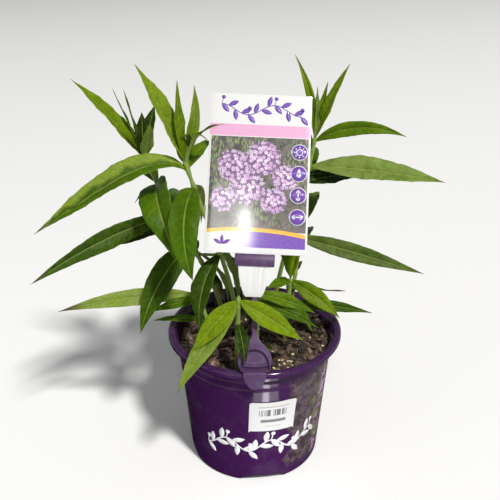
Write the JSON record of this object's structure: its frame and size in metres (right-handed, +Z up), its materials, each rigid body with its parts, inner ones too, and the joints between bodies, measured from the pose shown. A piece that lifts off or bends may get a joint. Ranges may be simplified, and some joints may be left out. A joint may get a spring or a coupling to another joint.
{
  "type": "potted phlox",
  "caption": "Young leafy phlox in a round tapered nursery pot of potting mix, with a plant label in a clip over the rim and a small sticker on the pot's wall.",
  "frame": {"origin": "middle of the pot's underside, on the surface it stands on", "axes": "+Z up along the pot's axis, -Y towards the label's printed front, +X to the right of that front"},
  "size_m": [0.3075, 0.2129, 0.3273],
  "materials": {
    "pot_plastic": "satin",
    "clip_plastic": "satin",
    "label_card": "satin",
    "sticker_paper": "matte",
    "potting_mix": "matte",
    "phlox_leaf": "satin"
  },
  "bodies": {
    "root": {"pot": "pot_plastic", "potting_mix": "potting_mix", "label_clip": "clip_plastic", "plant_label": "label_card", "pot_sticker": "sticker_paper", "shoot_left_front": "phlox_leaf", "shoot_left_back": "phlox_leaf", "shoot_right_back": "phlox_leaf", "shoot_left_low": "phlox_leaf", "shoot_back_middle": "phlox_leaf", "shoot_back_right": "phlox_leaf", "rosette_front": "phlox_leaf", "rosette_middle": "phlox_leaf", "rosette_right": "phlox_leaf"}
  },
  "joints": []
}
